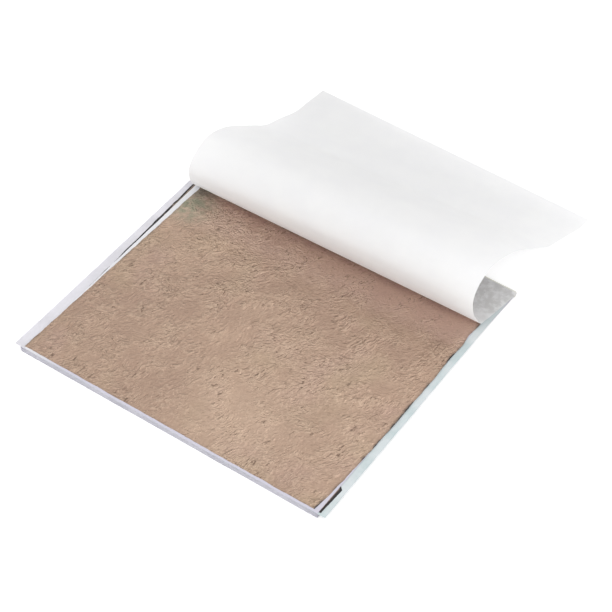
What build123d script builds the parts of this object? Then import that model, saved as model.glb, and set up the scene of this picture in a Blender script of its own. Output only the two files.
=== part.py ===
from build123d import *
import os
from math import radians, sin, tan

# Gold leaf booklet: square metal leaves lie loose between tissue pages that are
# glued together along their back edge. The top page is turned back in a curl.
# Frame: origin under the middle of the top leaf, on the plane the booklet lies on,
# +X to the reader's right, +Y towards the glued edge, +Z up.

# Leaves, in millimetres
leaf_side = 140.0
leaf_thickness = 0.02
leaf_count = 25

# Pages, and how far they stand past the leaf on it in front, at the glued edge and
# at each side
page_thickness = 0.07
front_margin = 1.0
back_margin = 1.0
side_margin = 0.2
air_gap = 0.01
turned_page_gap = 0.2

# Strip of glue behind the pages
glue_depth = 0.8
glue_gap = 0.05

# Side shift of each sheet as a share of its width, and how far it was cut or laid
# out of square in degrees. The sheets that show have their own values, and the
# rest wander a little about the pile's mean place.
page_shift_share = {1: -0.0157, 2: -0.0100, 3: -0.0371, 4: 0.0129}
page_skew = {1: 0.0, 2: 1.83, 3: 0.95, 4: 2.06}
leaf_shift_share = {1: 0.0, 2: -0.0125, 3: -0.0114}
leaf_skew = {1: 0.0, 2: 2.1, 3: 3.2}
pile_shift_share = -0.0043
wander_share = 0.0045
pile_skew = 0.4
wander_skew = 0.5
wander_step = 2.4

# Folds of the turned page, from the glued edge to the free edge: distance along
# the left and right side as shares of the page's length, and the turn in degrees.
# The turn is positive where the page curls up and back.
fold_left_share = (0.191, 0.241, 0.302, 0.401, 0.490, 0.585, 0.711, 0.860)
fold_right_share = (0.167, 0.270, 0.349, 0.437, 0.557, 0.655, 0.778, 0.949)
fold_turn = (57.4, 28.7, 58.9, 47.2, 19.9, 0.0, -15.9, -14.0)

page_count = leaf_count + 1
pitch = page_thickness + leaf_thickness + 2 * air_gap
page_width = leaf_side + 2 * side_margin
page_back = leaf_side / 2 + back_margin
page_front = -leaf_side / 2 - front_margin
page_length = page_back - page_front


def page_level(number):
    """Underside of a page, counted from 1 at the top of the pile."""
    return (page_count - number) * pitch


def leaf_level(number):
    """Underside of a leaf, which lies on the page that has the next number."""
    return page_level(number + 1) + page_thickness + air_gap


def place(number, own_share, own_skew, width):
    """Side shift and skew of one sheet."""
    if number in own_share:
        return own_share[number] * width, own_skew[number]
    swing = sin(number * wander_step)
    shift = (pile_shift_share + wander_share * swing) * width
    return shift, pile_skew + wander_skew * swing


def plate(corners, level, thickness):
    """A flat sheet from its corners, counted anticlockwise."""
    outline = Polygon(*corners, align=None)
    return Pos(0, 0, level) * extrude(outline, thickness)


def sheet(width, front, back, shift, skew, level, thickness):
    """A flat sheet whose sides lean by the skew and whose ends run along X."""
    lean = tan(radians(skew))
    corners = []
    for side, end in ((-1, front), (1, front), (1, back), (-1, back)):
        corners.append((shift - end * lean + side * width / 2, end))
    return plate(corners, level, thickness)


def leaf(number):
    """One metal leaf, loose on its page."""
    shift, skew = place(number, leaf_shift_share, leaf_skew, leaf_side)
    half = leaf_side / 2
    return sheet(leaf_side, -half, half, shift, skew, leaf_level(number), leaf_thickness)


def page(number):
    """One flat tissue page."""
    shift, skew = place(number, page_shift_share, page_skew, page_width)
    return sheet(page_width, page_front, page_back, shift, skew, page_level(number), page_thickness)


def spine_glue():
    """The strip of padding glue that holds the pages along their back edges."""
    height = turned_level + page_thickness
    strip = Box(page_width, glue_depth, height, align=(Align.CENTER, Align.MIN, Align.MIN))
    return Pos(pile_shift_share * page_width, page_back + glue_gap, 0) * strip


# The turned page is laid flat first, cut along its folds, and folded up from there.
# Each fold's line is on the face that is the hollow side of the turn.
turned_level = page_level(1) + turned_page_gap
turned_left = page_shift_share[1] * page_width - page_width / 2
turned_right = turned_left + page_width
cut_left = [page_back - share * page_length for share in (0.0, *fold_left_share, 1.0)]
cut_right = [page_back - share * page_length for share in (0.0, *fold_right_share, 1.0)]


def fold_axis(fold):
    """Line of one fold on the flat page, from the right side to the left."""
    height = turned_level + (page_thickness if fold_turn[fold] > 0 else 0)
    start = (turned_right, cut_right[fold + 1], height)
    return Axis(start, (turned_left - turned_right, cut_left[fold + 1] - cut_right[fold + 1], 0))


def turned_panel(number):
    """One flat panel of the turned page, in its folded place. Panel 0 is the bound one."""
    corners = [
        (turned_left, cut_left[number]),
        (turned_left, cut_left[number + 1]),
        (turned_right, cut_right[number + 1]),
        (turned_right, cut_right[number]),
    ]
    panel = plate(corners, turned_level, page_thickness)
    for fold in reversed(range(number)):
        panel = panel.rotate(fold_axis(fold), fold_turn[fold])
    return panel


def build():
    """Every sub-part, by name."""
    parts = {"spine_glue": spine_glue(), "page_01_bound_margin": turned_panel(0)}
    for number in range(1, len(fold_turn) + 1):
        parts[f"page_01_panel_{number}"] = turned_panel(number)
    for number in range(2, page_count + 1):
        parts[f"page_{number:02d}"] = page(number)
    for number in range(1, leaf_count + 1):
        parts[f"leaf_{number:02d}"] = leaf(number)
    return parts


os.makedirs("parts", exist_ok=True)
for name, shape in build().items():
    shape.label = name
    export_step(shape, f"parts/{name}.step")
    low, high = shape.bounding_box().min, shape.bounding_box().max
    print(name, [round(value, 2) for value in (*low, *high)], round(shape.volume, 1))
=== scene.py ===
import bpy
import numpy as np
from math import cos, radians, sin, tan
from mathutils import Matrix, Vector


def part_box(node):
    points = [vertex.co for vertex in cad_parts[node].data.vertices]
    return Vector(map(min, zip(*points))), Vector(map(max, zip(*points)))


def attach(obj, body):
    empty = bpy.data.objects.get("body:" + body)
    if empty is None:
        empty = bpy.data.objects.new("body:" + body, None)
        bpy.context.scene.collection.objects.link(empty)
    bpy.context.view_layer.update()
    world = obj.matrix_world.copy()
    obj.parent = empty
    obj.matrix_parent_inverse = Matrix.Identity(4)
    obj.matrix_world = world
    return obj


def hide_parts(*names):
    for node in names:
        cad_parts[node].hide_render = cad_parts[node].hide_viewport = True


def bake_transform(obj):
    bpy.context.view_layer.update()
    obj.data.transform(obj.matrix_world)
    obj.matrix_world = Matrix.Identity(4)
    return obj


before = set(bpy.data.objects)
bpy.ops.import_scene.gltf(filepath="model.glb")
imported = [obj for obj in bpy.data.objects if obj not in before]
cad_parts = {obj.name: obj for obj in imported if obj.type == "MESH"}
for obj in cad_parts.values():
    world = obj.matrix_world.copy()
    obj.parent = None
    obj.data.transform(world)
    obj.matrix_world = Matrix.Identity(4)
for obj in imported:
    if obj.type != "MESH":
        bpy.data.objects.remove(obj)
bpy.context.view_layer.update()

# Strip of padding glue. It is brushed onto the squared-up back edges of the tissue pages
# and dries to a thin milky skin that holds them together. The metal leaves stay loose.
glue_low, glue_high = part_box("spine_glue")
glue_swell = 0.0003
glue_steps = {"Vertices X": 220, "Vertices Y": 3, "Vertices Z": 9}
dull_glue = (0.74, 0.73, 0.66)
milky_glue = (0.86, 0.86, 0.82)


def node(tree, kind, values=None, **settings):
    """One node of a tree, with its sockets set or joined by name or place."""
    made = tree.nodes.new(kind)
    for name, value in settings.items():
        setattr(made, name, value)
    for socket, value in (values or {}).items():
        if isinstance(value, bpy.types.NodeSocket):
            tree.links.new(value, made.inputs[socket])
        else:
            made.inputs[socket].default_value = value
    return made


def maths(tree, operation, *values, clamp=False):
    """One operation of arithmetic on numbers or sockets."""
    made = node(tree, "ShaderNodeMath", dict(enumerate(values)), operation=operation, use_clamp=clamp)
    return made.outputs[0]


def plus(tree, first, second):
    """Two values added."""
    return maths(tree, "ADD", first, second)


def minus(tree, first, second):
    """The second value taken from the first."""
    return maths(tree, "SUBTRACT", first, second)


def times(tree, product, *others):
    """Values multiplied, from the first to the last."""
    for other in others:
        product = maths(tree, "MULTIPLY", product, other)
    return product


def parts_of(tree, vector):
    """The X, Y and Z of a vector."""
    return list(node(tree, "ShaderNodeSeparateXYZ", {0: vector}).outputs)


def vector_of(tree, x=0.0, y=0.0, z=0.0):
    """A vector from its X, Y and Z."""
    return node(tree, "ShaderNodeCombineXYZ", {0: x, 1: y, 2: z}).outputs[0]


def noise(tree, place, size, detail=2.0, roughness=0.5, warp=0.0):
    """Noise from 0 to 1 whose patches are about size metres across."""
    return node(tree, "ShaderNodeTexNoise", {
        "Vector": place, "Scale": 1 / size, "Detail": detail, "Roughness": roughness,
        "Distortion": warp}).outputs[0]


def spread(tree, value, low, high, out_low=0.0, out_high=1.0):
    """A value's range from low to high, brought to another range and held there."""
    values = {"Value": value, "From Min": low, "From Max": high, "To Min": out_low, "To Max": out_high}
    return node(tree, "ShaderNodeMapRange", values, interpolation_type="SMOOTHSTEP").outputs[0]


def between(tree, share, first, second):
    """A colour between two, by share."""
    mixer = node(tree, "ShaderNodeMix", data_type="RGBA")
    for socket, value in (("Factor", share), ("A", first), ("B", second)):
        sockets = [s for s in mixer.inputs if s.name == socket and s.enabled]
        if isinstance(value, bpy.types.NodeSocket):
            tree.links.new(value, sockets[0])
        else:
            sockets[0].default_value = value if socket == "Factor" else (*value, 1.0)
    return [s for s in mixer.outputs if s.enabled][0]


def material(name):
    """An empty material, its tree and its place input."""
    made = bpy.data.materials.new(name)
    made.use_nodes = True
    made.node_tree.nodes.clear()
    return made, made.node_tree, node(made.node_tree, "ShaderNodeTexCoord").outputs["Object"]


def bumps(tree, height, distance, strength=1.0):
    """A bump from a height."""
    values = {"Height": height, "Distance": distance, "Strength": strength}
    return node(tree, "ShaderNodeBump", values).outputs[0]


glue_look, tree, place = material("dried padding glue")
streaks = node(tree, "ShaderNodeMapping", {"Vector": place, "Scale": (0.25, 1.0, 1.0)}).outputs[0]
skin = noise(tree, streaks, size=0.0022, detail=4.0)
clots = noise(tree, place, size=0.009)
glue_shader = node(tree, "ShaderNodeBsdfPrincipled", {
    "Base Color": between(tree, clots, dull_glue, milky_glue),
    "Roughness": spread(tree, skin, 0.3, 0.7, out_low=0.28, out_high=0.5),
    "Normal": bumps(tree, skin, distance=0.0003),
    "Subsurface Weight": 0.15,
    "Subsurface Radius": (0.002, 0.002, 0.0015),
}).outputs[0]
node(tree, "ShaderNodeOutputMaterial", {"Surface": glue_shader})


def tree_of(name, sizes):
    """A geometry tree with named inputs, and the sockets that give them."""
    made = bpy.data.node_groups.new(name, "GeometryNodeTree")
    kinds = {float: "NodeSocketFloat", int: "NodeSocketInt", bpy.types.Material: "NodeSocketMaterial"}
    for label, kind in sizes.items():
        made.interface.new_socket(name=label, in_out="INPUT", socket_type=kinds[kind])
    made.interface.new_socket(name="Geometry", in_out="OUTPUT", socket_type="NodeSocketGeometry")
    given = node(made, "NodeGroupInput")
    return made, {label: given.outputs[label] for label in sizes}


def finish_tree(made, shape, look, sharp=0.6):
    """Smooth shading with sharp rims, then real geometry with its material."""
    smooth = node(made, "GeometryNodeSetShadeSmooth", {"Geometry": shape, "Shade Smooth": True},
                  domain="FACE")
    corner = node(made, "GeometryNodeInputMeshEdgeAngle").outputs["Unsigned Angle"]
    rims = node(made, "FunctionNodeCompare", {0: corner, 1: sharp},
                data_type="FLOAT", operation="GREATER_THAN")
    split = node(made, "GeometryNodeSetShadeSmooth", {
        "Geometry": smooth.outputs[0], "Selection": rims.outputs[0], "Shade Smooth": False},
        domain="EDGE")
    real = node(made, "GeometryNodeRealizeInstances", {"Geometry": split.outputs[0]})
    painted = node(made, "GeometryNodeSetMaterial", {"Geometry": real.outputs[0], "Material": look})
    node(made, "NodeGroupOutput", {"Geometry": painted.outputs[0]})


def grown(name, made, values):
    """A piece whose plain mesh a tree grows from these values."""
    piece = bpy.data.objects.new(name, bpy.data.meshes.new(name))
    bpy.context.scene.collection.objects.link(piece)
    modifier = piece.modifiers.new(name, "NODES")
    modifier.node_group = made
    for socket in made.interface.items_tree:
        if socket.in_out == "INPUT":
            modifier[socket.identifier] = values[socket.name]
    ready = piece.evaluated_get(bpy.context.evaluated_depsgraph_get())
    mesh = bpy.data.meshes.new_from_object(ready)
    piece.modifiers.clear()
    empty = piece.data
    piece.data = mesh
    bpy.data.meshes.remove(empty)
    mesh.name = name
    return piece


glue_tree, given = tree_of("glue strip", {
    "Width": float, "Depth": float, "Height": float, "Front": float, "Middle": float,
    "Swell": float, "Glue": bpy.types.Material})
size = vector_of(glue_tree, given["Width"], given["Depth"], given["Height"])
block = node(glue_tree, "GeometryNodeMeshCube", {"Size": size, **glue_steps})
spot = node(glue_tree, "GeometryNodeInputPosition").outputs[0]
_, behind, up = parts_of(glue_tree, spot)
half_depth = maths(glue_tree, "DIVIDE", given["Depth"], 2.0)
up_share = maths(glue_tree, "ABSOLUTE", maths(glue_tree, "DIVIDE", up, given["Height"]))
rounding = times(glue_tree, maths(glue_tree, "POWER", up_share, 4.0), 9.0)
lumps = noise(glue_tree, spot, size=0.006, detail=3.0)
back_share = spread(glue_tree, behind, 0.0, half_depth)
pull = times(glue_tree, minus(glue_tree, rounding, lumps), given["Swell"], back_share)
glue_offset = vector_of(
    glue_tree, given["Middle"],
    minus(glue_tree, plus(glue_tree, given["Front"], half_depth), pull),
    maths(glue_tree, "DIVIDE", given["Height"], 2.0))
moved = node(glue_tree, "GeometryNodeSetPosition", {
    "Geometry": block.outputs[0], "Offset": glue_offset})
finish_tree(glue_tree, moved.outputs[0], given["Glue"], sharp=1.0)
glue = grown("spine_glue_strip", glue_tree, {
    "Width": glue_high.x - glue_low.x, "Depth": glue_high.y - glue_low.y, "Height": glue_high.z,
    "Front": glue_low.y, "Middle": (glue_low.x + glue_high.x) / 2, "Swell": glue_swell,
    "Glue": glue_look})
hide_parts("spine_glue")
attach(glue, "bottom_page_and_glue")

# Tissue pages. Each is one soft white sheet, guillotined a little larger than the leaf
# that lies on it and glued by its back edge. The sheets aren't laid quite in line, and
# where a side stands out past the pile it lifts and dips a little.
leaf_side = 0.140
leaf_thickness = 0.00002
leaf_count = 25
page_thickness = 0.00007
side_margin = 0.0002
page_width = leaf_side + 2 * side_margin
page_length = 0.142
page_back = page_length / 2
air_gap = 0.00001
pitch = page_thickness + leaf_thickness + 2 * air_gap
page_shift_share = {1: -0.0157, 2: -0.0100, 3: -0.0371, 4: 0.0129}
page_skew = {2: 1.83, 3: 0.95, 4: 2.06}
pile_shift_share = -0.0043
wander_share = 0.0045
pile_skew = 0.4
wander_skew = 0.5
wander_step = 2.4
page_lift = {2: 0.00004, 3: 0.0007, 4: 0.0004}
page_left_pull = {2: 0.0005}
pile_side = {3: 0.0742}
usual_pile_side = 0.0716
page_waver = 0.0004
page_columns = 90
page_rows = 60
page_seed_step = 0.731


def page_level(number):
    """Underside of a page, counted from 1 at the top."""
    return (leaf_count + 1 - number) * pitch


def lay(number, own_share, own_skew, width):
    """Side shift and lean of one sheet, as they lie in the pile."""
    if number in own_share:
        return own_share[number] * width, tan(radians(own_skew[number]))
    swing = sin(number * wander_step)
    shift = (pile_shift_share + wander_share * swing) * width
    return shift, tan(radians(pile_skew + wander_skew * swing))


def pushed_about(tree, place, size, reach):
    """Places pushed about by broad noise, so that straight lines wander."""
    values = {"Vector": place, "Scale": 1 / size, "Detail": 1.0}
    drift = node(tree, "ShaderNodeTexNoise", values).outputs[1]
    centred = node(tree, "ShaderNodeVectorMath", {0: drift, 1: (0.5, 0.5, 0.5)}, operation="SUBTRACT")
    scaled = node(tree, "ShaderNodeVectorMath", {0: centred.outputs[0], 3: reach}, operation="SCALE")
    return node(tree, "ShaderNodeVectorMath", {0: place, 1: scaled.outputs[0]}, operation="ADD").outputs[0]


def crumpled_margin(tree, place):
    """Where the bound margin of the turned page is crumpled, and its crumples."""
    smooth_until, crumpled_from = 0.046, 0.058
    flat_below, curled_above = 0.0040, 0.0060
    just_behind = 0.0712
    _, back, up = parts_of(tree, place)
    margin = times(tree, spread(tree, back, smooth_until, crumpled_from),
                   spread(tree, up, curled_above, flat_below), maths(tree, "LESS_THAN", back, just_behind))
    wandering = pushed_about(tree, place, size=0.004, reach=0.002)
    return margin, noise(tree, wandering, size=0.0026, detail=4.0, roughness=0.62)


def tissue(name, plain, cloudy, through, cast=None, clear=0.0, crumpled=None):
    """Thin white tissue that lets light through, with soft clouds in its pulp."""
    look, tree, place = material(name)
    clouds = noise(tree, place, size=0.011, detail=3.0, roughness=0.6)
    drawn_out = node(tree, "ShaderNodeMapping", {
        "Vector": place, "Rotation": (0.0, 0.0, 0.5), "Scale": (1.0, 0.3, 1.0)}).outputs[0]
    fibres = noise(tree, drawn_out, size=0.0007, detail=3.0)
    cockle = noise(tree, place, size=0.016, detail=1.0)
    height = plus(tree, times(tree, fibres, 0.05), cockle)
    colour = between(tree, spread(tree, clouds, 0.3, 0.7), plain, cloudy)
    # Painted shade: where the bound margin is crumpled, its low places are coloured grey.
    if crumpled:
        margin, crumple = crumpled_margin(tree, place)
        crumple_shade_share = times(tree, margin, spread(tree, crumple, 0.66, 0.40))
        colour = between(tree, crumple_shade_share, colour, crumpled)
        height = plus(tree, height, times(tree, margin, crumple, 1.6))
    dent = bumps(tree, height, distance=0.0005, strength=0.6)
    # Painted shade: the cast darkens the sheet and turns it lilac everywhere in from its left strip, which
    # stays lighter.
    if cast:
        painted_shade_share = spread(tree, parts_of(tree, place)[0], -0.071, -0.045)
        colour = between(tree, painted_shade_share, colour, cast)
    paper = node(tree, "ShaderNodeBsdfPrincipled", {
        "Base Color": colour,
        "Roughness": spread(tree, fibres, 0.3, 0.7, out_low=0.62, out_high=0.8),
        "Normal": dent,
        "Specular IOR Level": 0.25,
        "Sheen Weight": 0.15,
        "Sheen Roughness": 0.5}).outputs[0]
    glow = node(tree, "ShaderNodeBsdfTranslucent", {"Color": colour, "Normal": dent}).outputs[0]
    both = node(tree, "ShaderNodeMixShader", {0: through, 1: paper, 2: glow}).outputs[0]
    if clear:
        open_weave = node(tree, "ShaderNodeBsdfTransparent").outputs[0]
        both = node(tree, "ShaderNodeMixShader", {0: clear, 1: both, 2: open_weave}).outputs[0]
    node(tree, "ShaderNodeOutputMaterial", {"Surface": both})
    return look


# The pile's pages: a lavender tissue darker than the turned page's white, partly painted shade of the
# pile's edges.
cool_tissue = tissue(
    "tissue with a cool cast", plain=(0.80, 0.79, 0.845), cloudy=(0.75, 0.74, 0.80), through=0.3)
grey_tissue = tissue(
    "tissue with a grey cast", plain=(0.83, 0.82, 0.86), cloudy=(0.75, 0.74, 0.78), through=0.3)
# Page 2: lighter on its left strip, with painted shade as a darker lilac cast on the rest.
lilac_tissue = tissue(
    "tissue with a lilac side", plain=(0.90, 0.90, 0.92), cloudy=(0.87, 0.87, 0.90), through=0.3,
    cast=(0.74, 0.72, 0.81))
# Page 4's greenish cast is painted reflection of the leaf's green.
mint_tissue = tissue(
    "tissue with a greenish cast", plain=(0.745, 0.785, 0.80), cloudy=(0.60, 0.69, 0.70), through=0.25)
page_looks = {2: lilac_tissue, 3: grey_tissue, 4: mint_tissue}

sheet_sizes = {"Width": float, "Length": float, "Shift": float, "Lean": float, "Level": float,
               "Thickness": float, "Across": int, "Along": int, "Seed": float}
page_tree, given = tree_of("tissue page", {
    **sheet_sizes, "Edge Waver": float, "Left Pull": float, "Lift": float, "Pile Side": float,
    "Tissue": bpy.types.Material})


def flat_grid(made, given):
    """A flat grid with its own map kept, and where each point lies."""
    grid = node(made, "GeometryNodeMeshGrid", {
        "Size X": given["Width"], "Size Y": given["Length"],
        "Vertices X": given["Across"], "Vertices Y": given["Along"]})
    kept = node(made, "GeometryNodeStoreNamedAttribute", {
        "Geometry": grid.outputs[0], "Name": "sheet_map", "Value": grid.outputs[1]},
        data_type="FLOAT2", domain="CORNER")
    spot = node(made, "GeometryNodeInputPosition").outputs[0]
    x, y, _ = parts_of(made, spot)
    seed = vector_of(made, given["Seed"], given["Seed"])
    seeded = node(made, "ShaderNodeVectorMath", {0: spot, 1: seed}, operation="ADD").outputs[0]
    return kept.outputs[0], x, y, seeded


def ramp_to_side(made, distance, half, reach):
    """From 0 inside to 1 at a side, over the last stretch."""
    return spread(made, maths(made, "ABSOLUTE", distance), minus(made, half, reach), half)


def laid_across(made, given, x, y):
    """X of each point once the sheet is shifted and leans."""
    return minus(made, plus(made, x, given["Shift"]), times(made, y, given["Lean"]))


def left_pull(made, given, x, y):
    """How far the left side is pulled in, from nothing in front to all at the back."""
    at_left = spread(made, x, -0.058, -0.07)
    to_back = spread(made, y, -0.035, 0.045)
    return times(made, at_left, to_back, given["Left Pull"])


def thickened(made, flat, offset, thickness):
    """A closed thin solid, moved: the sheet, a flat underside and the rim between them."""
    top = node(made, "GeometryNodeExtrudeMesh", {
        "Mesh": flat, "Offset": vector_of(made, z=thickness), "Offset Scale": 1.0,
        "Individual": False}, mode="FACES")
    under = node(made, "GeometryNodeFlipFaces", {"Mesh": flat})
    joined = node(made, "GeometryNodeJoinGeometry")
    made.links.new(top.outputs[0], joined.inputs[0])
    made.links.new(under.outputs[0], joined.inputs[0])
    whole = node(made, "GeometryNodeMergeByDistance", {
        "Geometry": joined.outputs[0], "Distance": 2e-6}).outputs[0]
    return node(made, "GeometryNodeSetPosition", {"Geometry": whole, "Offset": offset}).outputs[0]


flat, x, y, seeded = flat_grid(page_tree, given)
half_width = maths(page_tree, "DIVIDE", given["Width"], 2.0)
half_length = maths(page_tree, "DIVIDE", given["Length"], 2.0)
side = ramp_to_side(page_tree, x, half_width, reach=0.004)
front = times(page_tree, ramp_to_side(page_tree, y, half_length, reach=0.004),
              maths(page_tree, "LESS_THAN", y, 0.0))
waver = minus(page_tree, noise(page_tree, seeded, size=0.012, detail=3.0), 0.5)
waver_along = minus(page_tree, noise(page_tree, seeded, size=0.017, detail=3.0, warp=0.4), 0.5)
laid_x = laid_across(page_tree, given, x, y)
past_pile = spread(page_tree, maths(page_tree, "ABSOLUTE", laid_x), given["Pile Side"],
                   plus(page_tree, given["Pile Side"], 0.003))
ripple = noise(page_tree, seeded, size=0.014)
rise = times(page_tree, past_pile, ripple, given["Lift"])
shift_x = plus(page_tree, minus(page_tree, laid_x, x), left_pull(page_tree, given, x, y))
page_offset = vector_of(
    page_tree,
    plus(page_tree, shift_x, times(page_tree, waver, side, given["Edge Waver"])),
    times(page_tree, waver_along, front, given["Edge Waver"]),
    plus(page_tree, rise, given["Level"]))
finish_tree(page_tree, thickened(page_tree, flat, page_offset, given["Thickness"]), given["Tissue"])

for number in range(leaf_count + 1, 1, -1):
    shift, lean = lay(number, page_shift_share, page_skew, page_width)
    name = f"page_{number:02d}"
    page = grown(f"{name}_tissue", page_tree, {
        "Width": page_width, "Length": page_length, "Shift": shift, "Lean": lean,
        "Level": page_level(number), "Thickness": page_thickness,
        "Across": page_columns, "Along": page_rows, "Seed": number * page_seed_step,
        "Edge Waver": page_waver, "Left Pull": page_left_pull.get(number, 0.0),
        "Lift": page_lift.get(number, 0.0), "Pile Side": pile_side.get(number, usual_pile_side),
        "Tissue": page_looks.get(number, cool_tissue)})
    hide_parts(name)
    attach(page, "bottom_page_and_glue" if number == leaf_count + 1 else name)

# Metal leaves. Each is beaten to well under a thousandth of a millimetre, cut square and
# laid loose on its page, where it settles into fine creases. The edges are ripped ragged,
# and a thin band along them is coloured almost black.
leaf_shift_share = {1: 0.0, 2: -0.0125, 3: -0.0114}
leaf_skew = {1: 0.0, 2: 2.1, 3: 3.2}
leaf_left_pull = {2: -0.0005}
leaf_notch = {3: 0.0024}
leaf_waver = {1: 0.0012, 2: 0.0016, 3: 0.0022}
usual_waver = 0.0006
edge_tones = {1: (0.5, 1.5, 0.2), 2: (8.0, 1.0, 1.0), 3: (1.5, 30.0, 1.5)}
usual_tones = (1.2, 1.2, 1.0)
top_crease, hidden_crease = 0.00015, 0.000008
top_steps, hidden_steps = 215, 72
leaf_seed_step = 0.917
dark_edge_share = 0.011
fold_slope = 0.045


def leaf_level(number):
    """Underside of a leaf, which lies on the page that has the next number."""
    return page_level(number + 1) + page_thickness + air_gap


leaf_top = leaf_level(1) + leaf_thickness
leaf_look, tree, place = material("beaten warm gold leaf")
own_map = node(tree, "ShaderNodeUVMap", uv_map="sheet_map").outputs[0]
from_left, from_front, _ = parts_of(tree, own_map)
to_right, to_back = minus(tree, 1.0, from_left), minus(tree, 1.0, from_front)
side_tones = node(tree, "ShaderNodeAttribute", attribute_name="side_tones").outputs["Vector"]
left_tone, right_tone, end_tone = parts_of(tree, side_tones)
across, back, _ = parts_of(tree, place)


def near_edge(distance, strength):
    """How dark an edge is, from its distance as a share of the leaf's side."""
    close = maths(tree, "SUBTRACT", 1.0, maths(tree, "DIVIDE", distance, dark_edge_share), clamp=True)
    return times(tree, maths(tree, "POWER", close, 2.0), strength)


# A thin band along each edge, coloured almost black and less like metal.
sides = maths(tree, "MAXIMUM", near_edge(from_left, left_tone), near_edge(to_right, right_tone))
ends = near_edge(maths(tree, "MINIMUM", from_front, to_back), end_tone)
ragged = noise(tree, place, size=0.003, detail=3.0)
broken = spread(tree, noise(tree, place, size=0.010), 0.42, 0.6, out_low=0.3)
dark_rim = times(tree, maths(tree, "MAXIMUM", sides, ends), broken)
dark_rim = maths(tree, "MULTIPLY", dark_rim, spread(tree, ragged, 0.3, 0.55, out_low=0.4), clamp=True)
clouds = noise(tree, place, size=0.045)
specks = noise(tree, place, size=0.0035, detail=4.0, roughness=0.7)


def along_grain(tree, place, degrees, stretch):
    """Places turned and drawn out, so that what is laid on them runs one way."""
    turned_place = node(tree, "ShaderNodeVectorRotate", {"Vector": place, "Angle": -radians(degrees)},
                        rotation_type="Z_AXIS").outputs[0]
    return node(tree, "ShaderNodeVectorMath", {0: turned_place, 1: (1 / stretch, 1.0, 1.0)},
                operation="MULTIPLY").outputs[0]


def ridges(tree, value, sharpness):
    """Sharp crests where a noise crosses its middle."""
    off = maths(tree, "ABSOLUTE", minus(tree, value, 0.5))
    return maths(tree, "SUBTRACT", 1.0, times(tree, off, sharpness), clamp=True)


def way_to(spot_x, spot_y):
    """Distance to a spot on the top leaf."""
    values = {0: place, 1: (spot_x, spot_y, leaf_top)}
    return node(tree, "ShaderNodeVectorMath", values, operation="DISTANCE").outputs[1]


jagged = pushed_about(tree, pushed_about(tree, place, size=0.016, reach=0.006), size=0.0025, reach=0.0011)
long_noise = noise(tree, along_grain(tree, jagged, degrees=70, stretch=2.2), size=0.0014)
cross_noise = noise(tree, along_grain(tree, jagged, degrees=22, stretch=1.9), size=0.0013)
grains = noise(tree, along_grain(tree, jagged, degrees=62, stretch=1.6), size=0.0008,
               detail=4.0, roughness=0.65)
pits = noise(tree, along_grain(tree, jagged, degrees=75, stretch=3.0), size=0.0011,
             detail=3.0, roughness=0.7)
cross_share = spread(tree, noise(tree, place, size=0.016, detail=1.0), 0.42, 0.62,
                     out_low=0.05, out_high=0.75)
folds = plus(tree, times(tree, ridges(tree, long_noise, sharpness=4.5), minus(tree, 1.0, cross_share)),
             times(tree, ridges(tree, cross_noise, sharpness=4.5), cross_share))
creases = plus(tree, times(tree, folds, 0.5), times(tree, grains, 0.5))
patchy = spread(tree, noise(tree, place, size=0.011, detail=3.0, roughness=0.6), 0.38, 0.64, out_low=0.38)
to_fold = minus(tree, back, times(tree, across, fold_slope))

# How far each other colour covers the plain leaf: its patches, a patch of painted sheen in front,
# painted light near the fold, painted shade and reflection of the turned page along the fold,
# the tarnish, painted shade in the corner by the fold, painted highlights on the crests and
# painted shade in the pits of the creases
# Painted highlight: the leaf is also coloured lighter on the raised crests of its mesh.
raised = node(tree, "ShaderNodeAttribute", attribute_name="crease").outputs["Fac"]
mauve_share = spread(tree, noise(tree, place, size=0.024), 0.5, 0.75, out_high=0.5)
olive_share = spread(tree, noise(tree, place, size=0.028, detail=1.0, warp=0.3), 0.52, 0.75, out_high=0.25)
# Painted sheen: a broad lighter patch on the front of the leaf.
painted_sheen_share = spread(tree, way_to(0.020, -0.052), 0.036, 0.006, out_high=0.5)
# Painted light: the leaf is coloured lighter on the way to the fold, more so to the right.
painted_fold_light_share = times(tree, spread(tree, to_fold, 0.022, 0.036),
                    spread(tree, across, -0.07, 0.06, out_low=0.45, out_high=0.95))
# Painted shade and reflection: a mauve band along the fold, where the turned page's underside shades the
# leaf and shows in it.
painted_fold_shade_share = spread(tree, plus(tree, to_fold, times(tree, clouds, 0.006)), 0.0430, 0.0485, out_high=0.7)
tarnish_share = times(tree, spread(tree, way_to(-0.067, 0.034), 0.016, 0.003),
                      spread(tree, specks, 0.35, 0.6, out_low=0.3), 0.85)
# Painted shade: a dark spot in the left corner by the fold.
painted_corner_shade_share = spread(tree, way_to(-0.069, 0.045), 0.009, 0.002, out_high=0.8)
# Painted highlight: the leaf is coloured lighter, most on the crests of the creases and in the marked
# patches.
painted_crest_highlight_share = times(tree, plus(tree, times(tree, spread(tree, creases, 0.55, 0.80), 0.42), 0.13), patchy)
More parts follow.
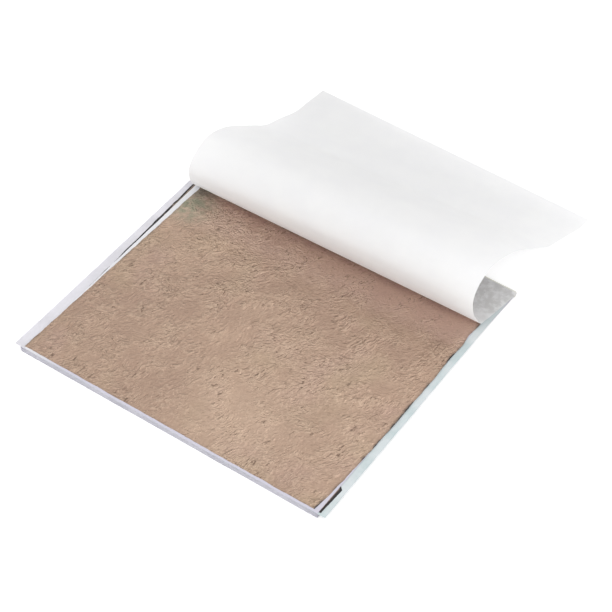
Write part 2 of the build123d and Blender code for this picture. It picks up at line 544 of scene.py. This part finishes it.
# Painted shade: dark specks in the pits of the creases.
painted_pit_shade_share = times(tree, spread(tree, pits, 0.43, 0.33), maths(tree, "POWER", patchy, 1.3), 0.8)
tone = between(tree, spread(tree, clouds, 0.35, 0.65), (0.385, 0.262, 0.200), (0.435, 0.301, 0.227))
for share, colour in (
        (mauve_share, (0.425, 0.287, 0.242)),
        (olive_share, (0.42, 0.345, 0.22)),
        (painted_sheen_share, (0.56, 0.41, 0.31)),
        (painted_fold_light_share, (0.60, 0.425, 0.36)),
        (painted_fold_shade_share, (0.44, 0.275, 0.245)),
        (tarnish_share, (0.20, 0.25, 0.18)),
        (painted_corner_shade_share, (0.10, 0.105, 0.095)),
        (painted_crest_highlight_share, (0.74, 0.57, 0.43)),
        (times(tree, raised, 0.25), (0.66, 0.50, 0.37)),
        (painted_pit_shade_share, (0.15, 0.10, 0.072)),
        (dark_rim, (0.028, 0.024, 0.024))):
    tone = between(tree, share, tone, colour)

marked = times(tree, patchy, spread(tree, across, 0.0, -0.05, out_low=1.0, out_high=1.9))
calm = spread(tree, to_fold, 0.018, 0.042, out_low=1.0, out_high=0.5)
leaf_shader = node(tree, "ShaderNodeBsdfPrincipled", {
    "Base Color": tone,
    "Metallic": spread(tree, dark_rim, 0.0, 1.0, out_low=1.0, out_high=0.5),
    "Roughness": spread(tree, specks, 0.3, 0.7, out_low=0.34, out_high=0.48),
    "Normal": bumps(tree, times(tree, creases, times(tree, marked, calm)), distance=0.0008)}).outputs[0]
node(tree, "ShaderNodeOutputMaterial", {"Surface": leaf_shader})

leaf_tree, given = tree_of("metal leaf", {
    **sheet_sizes, "Crease Height": float, "Edge Waver": float, "Left Pull": float, "Tear": float,
    "Notch": float, "Left Tone": float, "Right Tone": float, "End Tone": float,
    "Leaf": bpy.types.Material})
flat, x, y, seeded = flat_grid(leaf_tree, given)
half = maths(leaf_tree, "DIVIDE", given["Width"], 2.0)
side = ramp_to_side(leaf_tree, x, half, reach=0.006)
end = ramp_to_side(leaf_tree, y, half, reach=0.006)
waver = minus(leaf_tree, noise(leaf_tree, seeded, size=0.009, detail=5.0, roughness=0.65), 0.5)
waver_along = minus(
    leaf_tree, noise(leaf_tree, seeded, size=0.011, detail=5.0, roughness=0.65, warp=0.5), 0.5)

# Tear along the right side: places from the front to the back, and how deep it is there,
# both in millimetres
half_side_mm = 70
deepest_mm = 10
tear_depths = ((-70, 0.9), (-58, 0.4), (-35.8, 0.15), (-13.4, 0.5), (9.5, 1.2), (25, 1.85), (33, 2.0),
               (36.6, 2.4), (41, 2.7), (45.5, 2.4), (52, 2.5), (60, 2.7), (70, 2.6))
along = node(leaf_tree, "ShaderNodeMapRange", {
    "Value": y, "From Min": -leaf_side / 2, "From Max": leaf_side / 2}).outputs[0]
profile = node(leaf_tree, "ShaderNodeFloatCurve", {"Value": along})
curve = profile.mapping.curves[0]
for spot_number, (at, depth) in enumerate(tear_depths):
    share = (at + half_side_mm) / (2 * half_side_mm), depth / deepest_mm
    if spot_number in (0, len(tear_depths) - 1):
        curve.points[0 if spot_number == 0 else -1].location = share
    else:
        curve.points.new(*share)
profile.mapping.update()
tear = times(leaf_tree, profile.outputs[0], spread(leaf_tree, x, 0.045, half), given["Tear"])

notch = times(
    leaf_tree, spread(leaf_tree, y, -0.0560, -0.0535, out_low=-0.12, out_high=0.88),
    ramp_to_side(leaf_tree, x, half, reach=0.010), maths(leaf_tree, "GREATER_THAN", x, 0.0), given["Notch"])
off_x = minus(leaf_tree, laid_across(leaf_tree, given, x, y), x)
off_x = plus(leaf_tree, off_x, times(leaf_tree, waver, side, given["Edge Waver"]))
off_x = plus(leaf_tree, minus(leaf_tree, off_x, tear), left_pull(leaf_tree, given, x, y))
off_x = minus(leaf_tree, off_x, notch)
off_y = times(leaf_tree, waver_along, end, given["Edge Waver"])

drifted = pushed_about(
    leaf_tree, pushed_about(leaf_tree, seeded, size=0.022, reach=0.009), size=0.004, reach=0.0015)
broad = noise(leaf_tree, along_grain(leaf_tree, drifted, degrees=60, stretch=2.4), size=0.0048)
fine = noise(leaf_tree, along_grain(leaf_tree, drifted, degrees=76, stretch=2.0), size=0.0026)
clusters = spread(leaf_tree, noise(leaf_tree, seeded, size=0.022), 0.38, 0.66, out_low=0.12)
calm_ends = times(leaf_tree, spread(leaf_tree, y, -0.075, -0.02, out_low=0.5),
                  spread(leaf_tree, y, 0.018, 0.044, out_low=1.0, out_high=0.55))
crests = plus(leaf_tree, times(leaf_tree, ridges(leaf_tree, broad, sharpness=6.0), 0.5),
              times(leaf_tree, ridges(leaf_tree, fine, sharpness=5.0), 0.5))
crests = times(leaf_tree, crests, clusters, calm_ends)
_, _, up = parts_of(leaf_tree, node(leaf_tree, "GeometryNodeInputPosition").outputs[0])
half_thickness = maths(leaf_tree, "DIVIDE", given["Thickness"], 2.0)
on_top = maths(leaf_tree, "GREATER_THAN", up, half_thickness)
crease = times(leaf_tree, crests, given["Crease Height"], on_top)
leaf_offset = vector_of(leaf_tree, off_x, off_y, plus(leaf_tree, crease, given["Level"]))
tones = vector_of(leaf_tree, given["Left Tone"], given["Right Tone"], given["End Tone"])
for label, value, kind in (("crease", crests, "FLOAT"), ("side_tones", tones, "FLOAT_VECTOR")):
    flat = node(leaf_tree, "GeometryNodeStoreNamedAttribute", {
        "Geometry": flat, "Name": label, "Value": value}, data_type=kind, domain="POINT").outputs[0]
finish_tree(leaf_tree, thickened(leaf_tree, flat, leaf_offset, given["Thickness"]), given["Leaf"])

for number in range(leaf_count, 0, -1):
    own_tones = edge_tones.get(number, usual_tones)
    shift, lean = lay(number, leaf_shift_share, leaf_skew, leaf_side)
    name = f"leaf_{number:02d}"
    top = number == 1
    steps = top_steps if top else hidden_steps
    leaf = grown(f"{name}_metal", leaf_tree, {
        "Width": leaf_side, "Length": leaf_side, "Shift": shift, "Lean": lean,
        "Level": leaf_level(number), "Thickness": leaf_thickness,
        "Across": steps, "Along": steps, "Seed": number * leaf_seed_step,
        "Crease Height": top_crease if top else hidden_crease,
        "Edge Waver": leaf_waver.get(number, usual_waver),
        "Left Pull": leaf_left_pull.get(number, 0.0),
        "Tear": deepest_mm / 1000 if top else 0.0, "Notch": leaf_notch.get(number, 0.0),
        "Left Tone": own_tones[0], "Right Tone": own_tones[1], "End Tone": own_tones[2],
        "Leaf": leaf_look})
    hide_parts(name)
    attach(leaf, name)

# Turned page. It is the top tissue of the booklet, still glued by its back edge, rolled
# back in a loose curl so that its free edge hangs behind the pile. It is one sheet: eight
# lengths of it meet edge to edge, and each bends where the paper bends.
fold_left_share = (0.191, 0.241, 0.302, 0.401, 0.490, 0.585, 0.711, 0.860)
fold_right_share = (0.167, 0.270, 0.349, 0.437, 0.557, 0.655, 0.778, 0.949)
fold_turn = (57.4, 28.7, 58.9, 47.2, 19.9, 0.0, -15.9, -14.0)
fold_half = (0.0021, 0.0034, 0.0038, 0.0057, 0.0061, 0.0066, 0.0085, 0.0085)
fold_count = len(fold_turn)
turned_page_gap = 0.0002
turned_level = page_level(1) + turned_page_gap + page_thickness / 2
turned_left = page_shift_share[1] * page_width - page_width / 2
bound_reach_in = 0.0024
bound_reach_out = 0.0030
bound_stands_out = 0.0024
columns = 57
rows = 16
unrolled_rows = rows + 8
lead_rows = 11
trail_rows = 4
settling_rounds = 30
across = np.linspace(0.0, 1.0, columns)
shares_left = (0.0, *fold_left_share, 1.0)
shares_right = (0.0, *fold_right_share, 1.0)


def turned(points, start, line, degrees):
    """Points turned about a line."""
    line = line / np.linalg.norm(line)
    near = points - start
    angle = np.radians(degrees)
    if np.ndim(angle):
        angle = angle[..., None]
    along_line = (near @ line)[..., None] * line
    return start + along_line + (near - along_line) * np.cos(angle) + np.cross(line, near) * np.sin(angle)


def flat_line(number):
    """A fold line or end of the flat page, from left to right."""
    share = shares_left[number] + (shares_right[number] - shares_left[number]) * across
    far = page_back - page_length * share
    return np.stack([turned_left + page_width * across, far, np.full(columns, turned_level)], 1)


def folded(points, folds):
    """Points of the flat page, carried up by the folds before them."""
    for fold in reversed(range(folds)):
        line = flat_line(fold + 1)
        points = turned(points, line[-1], line[0] - line[-1], fold_turn[fold])
    return points


lines = [folded(flat_line(number), max(number - 1, 0)) for number in range(fold_count + 2)]


def arc(start, at, end):
    """Rows of points that leave one line towards a fold and bend over to another line."""
    shares = np.linspace(0.0, 1.0, rows)[:, None, None]
    return (1 - shares) ** 2 * start + 2 * shares * (1 - shares) * at + shares ** 2 * end


def rounded(number):
    """The page round one fold, from the middle of the strip before it to the middle of the next."""
    before, at, after = lines[number - 1:number + 2]
    return arc(at + (before - at) * 0.5, at, at + (after - at) * 0.5)


def rounded_from_glue():
    """The bound margin and the tighter bend after it. Its right side stands out at the back."""
    before, at, after = lines[:3]
    start = at + (before - at) * (bound_reach_in / np.linalg.norm(at - before, axis=1)[:, None])
    end = at + (after - at) * (bound_reach_out / np.linalg.norm(after - at, axis=1)[:, None])
    middle = (at + after) / 2
    lead = np.linspace(0.0, 1.0, lead_rows + 1)[:-1, None, None]
    trail = np.linspace(0.0, 1.0, trail_rows + 1)[1:, None, None]
    bend = np.concatenate([
        before + (start - before) * lead, arc(start, at, end), end + (middle - end) * trail])
    last_fifth = np.clip(across * 5 - 4, 0, 1)
    bend[:lead_rows, :, 0] += bound_stands_out * (1 - lead[..., 0]) ** 0.8 * last_fifth ** 2
    return bend


def zone(number, half):
    """Where the page bends round one fold: the two ends of a short line across it."""
    before, at, after = [line[[0, -1]].mean(0) for line in lines[number - 1:number + 2]]
    axis = lines[number][0] - lines[number][-1]
    axis /= np.linalg.norm(axis)
    way = (at - before) / np.linalg.norm(at - before) + (after - at) / np.linalg.norm(after - at)
    way -= axis * (way @ axis)
    way /= np.linalg.norm(way)
    return at - way * half, at + way * half, axis


def unrolling(number, half):
    """The page round a fold that opens downwards, shaped so that it unrolls quite flat."""
    start, end, axis = zone(number, half)
    first = (lines[number - 1] + lines[number]) / 2
    turn = fold_turn[number - 1]
    flat_next = turned(lines[number + 1], lines[number][-1], axis, -turn)
    last = flat_next if number == fold_count else (lines[number] + flat_next) / 2
    shares = np.linspace(0.0, 1.0, unrolled_rows)[:, None, None]
    unrolled = first + (last - first) * shares
    bent = unrolled
    for _ in range(settling_rounds):
        share = np.clip((bent - start) @ (end - start) / ((end - start) @ (end - start)), 0, 1)
        bent = turned(unrolled, lines[number][-1], axis, share * share * (3 - 2 * share) * turn)
    return bent


def sheet_piece(name, grid, look):
    """A closed thin sheet about a grid of points."""
    down, over = grid.shape[:2]
    normal = np.cross(np.gradient(grid, axis=1), np.gradient(grid, axis=0))
    normal /= np.linalg.norm(normal, axis=2)[..., None]
    points = np.concatenate([grid + normal * page_thickness / 2, grid - normal * page_thickness / 2])
    count = down * over
    index = np.arange(count).reshape(down, over)
    quads = np.stack([index[:-1, :-1], index[1:, :-1], index[1:, 1:], index[:-1, 1:]], -1).reshape(-1, 4)
    rim = np.concatenate([index[0, :], index[1:, -1], index[-1, -2::-1], index[-2:0:-1, 0]])
    after = np.roll(rim, -1)
    walls = np.stack([rim, after, after + count, rim + count], -1)
    faces = np.concatenate([quads, quads[:, ::-1] + count, walls[:, ::-1]])
    mesh = bpy.data.meshes.new(name)
    mesh.from_pydata(points.reshape(-1, 3).tolist(), [], faces.tolist())
    mesh.validate()
    mesh.shade_smooth()
    rims = {(min(a, b), max(a, b)) for a, b in zip(rim, after)}
    rims |= {(a + count, b + count) for a, b in rims}
    for edge in mesh.edges:
        if tuple(sorted(edge.vertices)) in rims:
            edge.use_edge_sharp = True
    mesh.materials.append(look)
    piece = bpy.data.objects.new(name, mesh)
    bpy.context.scene.collection.objects.link(piece)
    return piece


# The grey of the crumpled bound margin is painted shade.
curl_tissue = tissue(
    "white tissue of the turned page", plain=(0.95, 0.95, 0.95), cloudy=(0.935, 0.935, 0.94),
    through=0.40, clear=0.04, crumpled=(0.79, 0.785, 0.78))
for number in range(1, fold_count + 1):
    half = fold_half[number - 1]
    if number == 1:
        grid = rounded_from_glue()
    else:
        grid = unrolling(number, half) if fold_turn[number - 1] < 0 else rounded(number)
    piece = sheet_piece(f"page_01_length_{number}", grid, curl_tissue)
    replaced = [f"page_01_panel_{number}"] + (["page_01_bound_margin"] if number == 1 else [])
    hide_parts(*replaced)
    start, end, _ = zone(number, half)
    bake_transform(piece)

# Studio: a plain white table under an even white sky, four soft lamps in front of and
# behind the booklet, and a camera fitted to the photograph.
table_half = 3.0
white = (1.0, 1.0, 1.0, 1.0)
floor_look, tree, place = material("white table")
camera_ray = node(tree, "ShaderNodeLightPath").outputs["Is Camera Ray"]
plain = node(tree, "ShaderNodeBsdfDiffuse", {"Color": (0.82, 0.82, 0.82, 1.0)}).outputs[0]
lit = node(tree, "ShaderNodeEmission", {"Color": white, "Strength": 0.42}).outputs[0]
seen = node(tree, "ShaderNodeAddShader", {0: plain, 1: lit}).outputs[0]
floor_shader = node(tree, "ShaderNodeMixShader", {0: camera_ray, 1: plain, 2: seen}).outputs[0]
node(tree, "ShaderNodeOutputMaterial", {"Surface": floor_shader})
floor_mesh = bpy.data.meshes.new("table")
corners = [(-table_half, -table_half, 0), (table_half, -table_half, 0),
           (table_half, table_half, 0), (-table_half, table_half, 0)]
floor_mesh.from_pydata(corners, [], [(0, 1, 2, 3)])
floor_mesh.materials.append(floor_look)
floor = bpy.data.objects.new("table", floor_mesh)
bpy.context.scene.collection.objects.link(floor)

world = bpy.data.worlds.new("studio")
bpy.context.scene.world = world
world.use_nodes = True
world.node_tree.nodes.clear()
sky = node(world.node_tree, "ShaderNodeBackground", {"Color": white, "Strength": 1.0}).outputs[0]
node(world.node_tree, "ShaderNodeOutputWorld", {"Surface": sky})


def lamp(name, place, aim, side, watts):
    """A square soft lamp aimed at a point."""
    light = bpy.data.lights.new(name, "AREA")
    light.shape = "SQUARE"
    light.size = side
    light.energy = watts
    holder = bpy.data.objects.new(name, light)
    holder.location = place
    holder.rotation_euler = (Vector(aim) - Vector(place)).to_track_quat("-Z", "Y").to_euler()
    bpy.context.scene.collection.objects.link(holder)


lamp("key", place=(-0.55, -0.50, 0.85), aim=(0.0, 0.03, 0.0), side=0.4, watts=1.0)
lamp("fill", place=(0.75, -0.75, 0.8), aim=(0.0, 0.0, 0.0), side=0.9, watts=2.2)
lamp("low front", place=(0.25, -1.25, 0.17), aim=(0.0, 0.05, 0.01), side=0.3, watts=2.4)
lamp("back", place=(0.30, 0.80, 1.0), aim=(0.0, 0.08, 0.0), side=0.5, watts=1.8)

azimuth, elevation, roll = radians(33.526), radians(45.651), radians(2.341)
camera_distance = 0.9529
aim_x, aim_y = 0.005868, 0.014162
sensor_mm = 36
focal_px = 2374
photo_px = 612
back = Vector((sin(azimuth) * cos(elevation), -cos(azimuth) * cos(elevation), sin(elevation)))
right = (-back).cross(Vector((0, 0, 1))).normalized()
above = right.cross(-back)
right_rolled = right * cos(roll) + above * sin(roll)
above_rolled = above * cos(roll) - right * sin(roll)
eye = Vector((aim_x, aim_y, leaf_top)) + back * camera_distance
camera_data = bpy.data.cameras.new("camera")
camera_data.lens = sensor_mm * focal_px / photo_px
camera_data.sensor_width = sensor_mm
camera = bpy.data.objects.new("camera", camera_data)
turn = Matrix((right_rolled, above_rolled, back)).transposed().to_4x4()
camera.matrix_world = Matrix.Translation(eye) @ turn
bpy.context.scene.collection.objects.link(camera)
bpy.context.scene.camera = camera
bpy.context.scene.view_settings.view_transform = "Standard"
